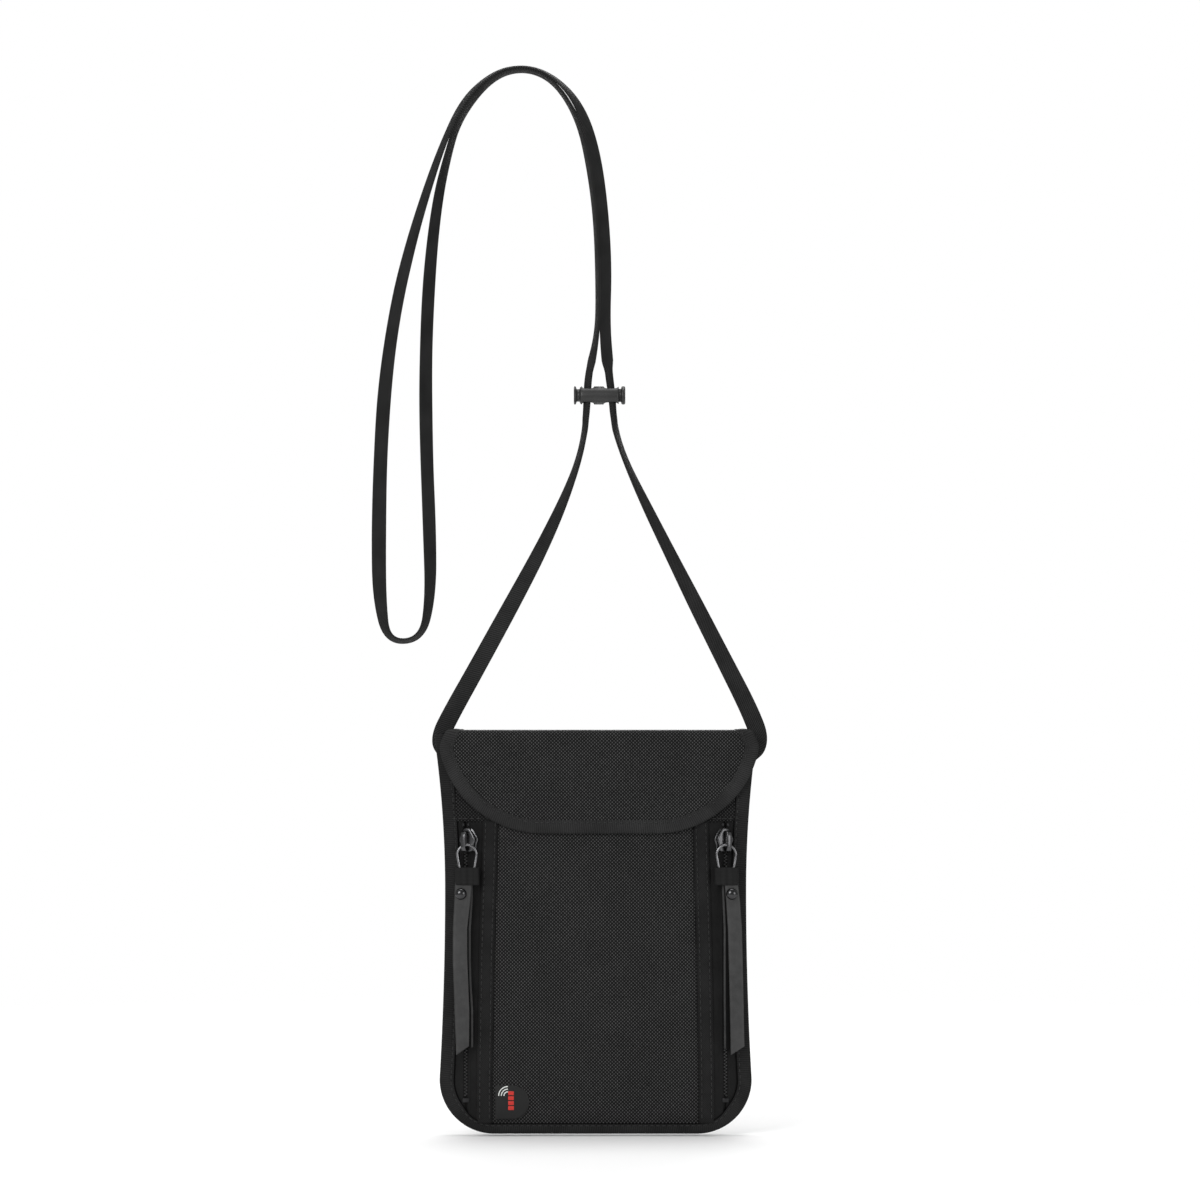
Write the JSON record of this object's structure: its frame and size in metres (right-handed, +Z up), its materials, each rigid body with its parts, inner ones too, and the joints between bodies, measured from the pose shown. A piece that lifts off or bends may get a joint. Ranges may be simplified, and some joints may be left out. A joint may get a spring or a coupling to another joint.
{
  "type": "neck pouch wallet",
  "caption": "Flat fabric neck pouch with a bound flap, a zipped pocket down each front edge, leather zip pulls and a looped neck strap with a sliding cord lock.",
  "frame": {"origin": "the point where the doubled neck strap hangs from a hook, peg or neck, at the underside of the strap", "axes": "+Z up, -Y out of the pouch front, +X to the right seen from the front"},
  "size_m": [0.1771, 0.0202, 0.49],
  "materials": {
    "ballistic_fabric": "matte two-tone weave",
    "lining_fabric": "plain weave",
    "shield_foil": "matte foil",
    "binding_tape": "ribbed grosgrain",
    "welt_fabric": "twill, topstitched",
    "zip_tape": "herringbone tape",
    "zip_coil": "satin nylon",
    "gunmetal": "dark polished plating",
    "rivet_metal": "dark polished plating",
    "leather": "fine grain",
    "keeper_tape": "matte",
    "closure_pile": "hook and loop pile",
    "badge_rubber": "smooth matte",
    "badge_white": "smooth matte",
    "badge_red": "smooth matte",
    "strap_webbing": "diagonal twill webbing",
    "spring_steel": "plain",
    "lock_plastic": "satin moulded"
  },
  "bodies": {
    "pouch": {"back_panel": "ballistic_fabric", "badge_arcs": "badge_white", "badge_bar": "badge_red", "badge_patch": "badge_rubber", "closure_loop_strip": "closure_pile", "edge_binding": "binding_tape", "front_center_panel": "ballistic_fabric", "left_strap_anchor": "strap_webbing", "left_upper_side_panel": "ballistic_fabric", "left_zip_bottom_stop": "zip_coil", "left_zip_coil_inner": "zip_coil", "left_zip_coil_outer": "zip_coil", "left_zip_tape_inner": "zip_tape", "left_zip_tape_outer": "zip_tape", "left_zip_top_stops": "zip_coil", "left_zip_welt": "welt_fabric", "mouth_binding": "binding_tape", "neck_strap": "strap_webbing", "pocket_divider": "lining_fabric", "rear_lining": "lining_fabric", "rfid_shield": "shield_foil", "right_strap_anchor": "strap_webbing", "right_upper_side_panel": "ballistic_fabric", "right_zip_bottom_stop": "zip_coil", "right_zip_coil_inner": "zip_coil", "right_zip_coil_outer": "zip_coil", "right_zip_tape_inner": "zip_tape", "right_zip_tape_outer": "zip_tape", "right_zip_top_stops": "zip_coil", "right_zip_welt": "welt_fabric"},
    "flap_fold": {"flap_fold": "ballistic_fabric"},
    "flap": {"flap_outer": "ballistic_fabric", "flap_lining": "lining_fabric", "flap_binding": "binding_tape", "closure_hook_strip": "closure_pile"},
    "cord_lock": {"lock_sleeve": "lock_plastic", "lock_spring": "spring_steel"},
    "lock_plunger": {"lock_plunger": "lock_plastic"},
    "left_slider": {"left_slider_body": "gunmetal", "left_slider_crown": "gunmetal"},
    "left_ring": {"left_pull_ring": "gunmetal"},
    "left_tab": {"left_leather_tab": "leather", "left_tab_keeper": "keeper_tape", "left_tab_rivet": "rivet_metal"},
    "right_slider": {"right_slider_body": "gunmetal", "right_slider_crown": "gunmetal"},
    "right_ring": {"right_pull_ring": "gunmetal"},
    "right_tab": {"right_leather_tab": "leather", "right_tab_keeper": "keeper_tape", "right_tab_rivet": "rivet_metal"}
  },
  "joints": [
    {"name": "flap_hinge", "type": "hinge", "parent": "flap_fold", "child": "flap", "pos_m": [0.0342, -0.0067, -0.302], "axis": [-1, 0, 0], "range_deg": [0, 80]},
    {"name": "flap_fold_hinge", "type": "hinge", "parent": "pouch", "child": "flap_fold", "pos_m": [0.0342, 0.0046, -0.302], "axis": [-1, 0, 0], "range_deg": [0, 80]},
    {"name": "cord_lock_slide", "type": "slide", "parent": "pouch", "child": "cord_lock", "axis": [0, 0, 1], "range_m": [-0.008, 0.008]},
    {"name": "lock_plunger_press", "type": "slide", "parent": "cord_lock", "child": "lock_plunger", "axis": [-1, 0, 0], "range_m": [0, 0.0009], "stiffness_N_per_m": 400, "springref_m": -0.0012},
    {"name": "left_zip_slide", "type": "slide", "parent": "pouch", "child": "left_slider", "axis": [0, 0, -1], "range_m": [0, 0.112]},
    {"name": "left_ring_hinge", "type": "hinge", "parent": "left_slider", "child": "left_ring", "pos_m": [-0.0252, -0.0086, -0.3531], "axis": [-1, 0, 0], "range_deg": [0, 90]},
    {"name": "left_tab_hinge", "type": "hinge", "parent": "left_ring", "child": "left_tab", "pos_m": [-0.0252, -0.0086, -0.3625], "axis": [-1, 0, 0], "range_deg": [0, 90]},
    {"name": "right_zip_slide", "type": "slide", "parent": "pouch", "child": "right_slider", "axis": [0, 0, -1], "range_m": [0, 0.112]},
    {"name": "right_ring_hinge", "type": "hinge", "parent": "right_slider", "child": "right_ring", "pos_m": [0.0936, -0.0086, -0.3531], "axis": [-1, 0, 0], "range_deg": [0, 90]},
    {"name": "right_tab_hinge", "type": "hinge", "parent": "right_ring", "child": "right_tab", "pos_m": [0.0936, -0.0086, -0.3625], "axis": [-1, 0, 0], "range_deg": [0, 90]}
  ],
  "couplings": [
    {"joint": "flap_fold_hinge", "follows": "flap_hinge", "ratio": 1}
  ]
}
